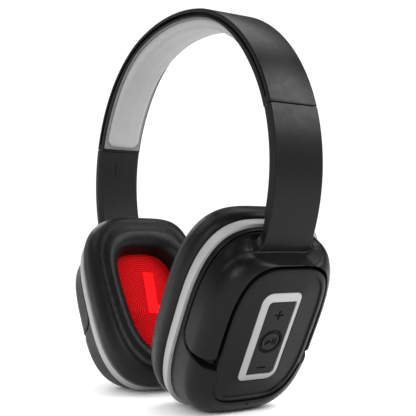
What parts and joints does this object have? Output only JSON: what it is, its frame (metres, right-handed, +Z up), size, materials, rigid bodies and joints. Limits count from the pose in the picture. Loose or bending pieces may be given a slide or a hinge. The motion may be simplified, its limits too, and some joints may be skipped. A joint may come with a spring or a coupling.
{
  "type": "wireless over-ear headset",
  "caption": "Over-ear wireless headset: padded arc headband, slide-out arms with U-shaped yokes, tilting oval cups, rocking volume pad and round button.",
  "frame": {"origin": "on the surface the cups stand on, at the middle of the whole headset's box", "axes": "+X to the wearer's right, +Y to the front, +Z up"},
  "size_m": [0.1772, 0.0666, 0.192],
  "materials": {
    "shell_black": "satin moulded",
    "inner_black": "fine matt",
    "pad_grey": "smooth grey leatherette",
    "leatherette": "soft black leatherette",
    "silver": "satin silver paint",
    "red_cloth": "fine ribbed cloth",
    "red_print": "bright print",
    "steel": "brushed",
    "screw_steel": "plated",
    "wire_sheath": "matt",
    "inside_plastic": "moulded",
    "magnet_steel": "plated",
    "diaphragm_film": "thin film",
    "board_green": "solder mask",
    "battery_foil": "foil pouch",
    "jack_metal": "plated"
  },
  "bodies": {
    "headband": {"headband_shell": "shell_black", "headband_frame": "inner_black", "headband_spring": "steel", "headband_pad": "pad_grey", "headband_screws": "screw_steel", "headband_wire": "wire_sheath"},
    "right_arm": {"right_yoke": "shell_black", "right_arm_cover": "inner_black", "right_arm_mark": "inner_black", "right_slider_bar": "steel", "right_arm_screws": "screw_steel", "right_pivot_pins": "steel"},
    "left_arm": {"left_yoke": "shell_black", "left_arm_cover": "inner_black", "left_arm_mark": "inner_black", "left_slider_bar": "steel", "left_arm_screws": "screw_steel", "left_pivot_pins": "steel"},
    "right_cup": {"right_housing": "shell_black", "right_faceplate": "shell_black", "right_silver_frame": "silver", "right_trim_ring": "silver", "right_baffle": "inside_plastic", "right_driver_basket": "inside_plastic", "right_driver_magnet": "magnet_steel", "right_diaphragm": "diaphragm_film", "right_speaker_cover": "red_cloth", "right_side_mark": "red_print", "right_cushion_plate": "inside_plastic", "right_ear_cushion": "leatherette", "right_cup_screws": "screw_steel", "main_board": "board_green", "button_switches": "inside_plastic", "microphone": "steel", "charging_port": "steel"},
    "left_cup": {"left_housing": "shell_black", "left_faceplate": "shell_black", "left_silver_frame": "silver", "left_trim_ring": "silver", "left_baffle": "inside_plastic", "left_driver_basket": "inside_plastic", "left_driver_magnet": "magnet_steel", "left_diaphragm": "diaphragm_film", "left_speaker_cover": "red_cloth", "left_side_mark": "red_print", "left_cushion_plate": "inside_plastic", "left_ear_cushion": "leatherette", "left_cup_screws": "screw_steel", "inlay_panel": "inner_black", "battery": "battery_foil", "battery_board": "board_green", "audio_jack": "jack_metal"},
    "right_rocker": {"volume_rocker": "inner_black"},
    "right_button": {"center_button": "inner_black"}
  },
  "joints": [
    {"name": "right_arm_slide", "type": "slide", "parent": "headband", "child": "right_arm", "axis": [0.4147, 0, -0.91], "range_m": [0, 0.02]},
    {"name": "left_arm_slide", "type": "slide", "parent": "headband", "child": "left_arm", "axis": [-0.4147, 0, -0.91], "range_m": [0, 0.02]},
    {"name": "right_cup_tilt", "type": "hinge", "parent": "right_arm", "child": "right_cup", "pos_m": [0.05906, 0, 0.03773], "axis": [0, -1, 0], "range_deg": [0, 6]},
    {"name": "left_cup_tilt", "type": "hinge", "parent": "left_arm", "child": "left_cup", "pos_m": [-0.05906, 0, 0.03773], "axis": [0, 1, 0], "range_deg": [0, 6]},
    {"name": "volume_rocker_tilt", "type": "hinge", "parent": "right_cup", "child": "right_rocker", "pos_m": [0.06951, 0, 0.03504], "axis": [0, 1, 0], "range_deg": [-1.5, 1.5], "stiffness_Nm_per_rad": 0.6},
    {"name": "center_button_press", "type": "slide", "parent": "right_cup", "child": "right_button", "axis": [-0.866, 0, 0.5], "range_m": [0, 0.0006], "stiffness_N_per_m": 900}
  ]
}
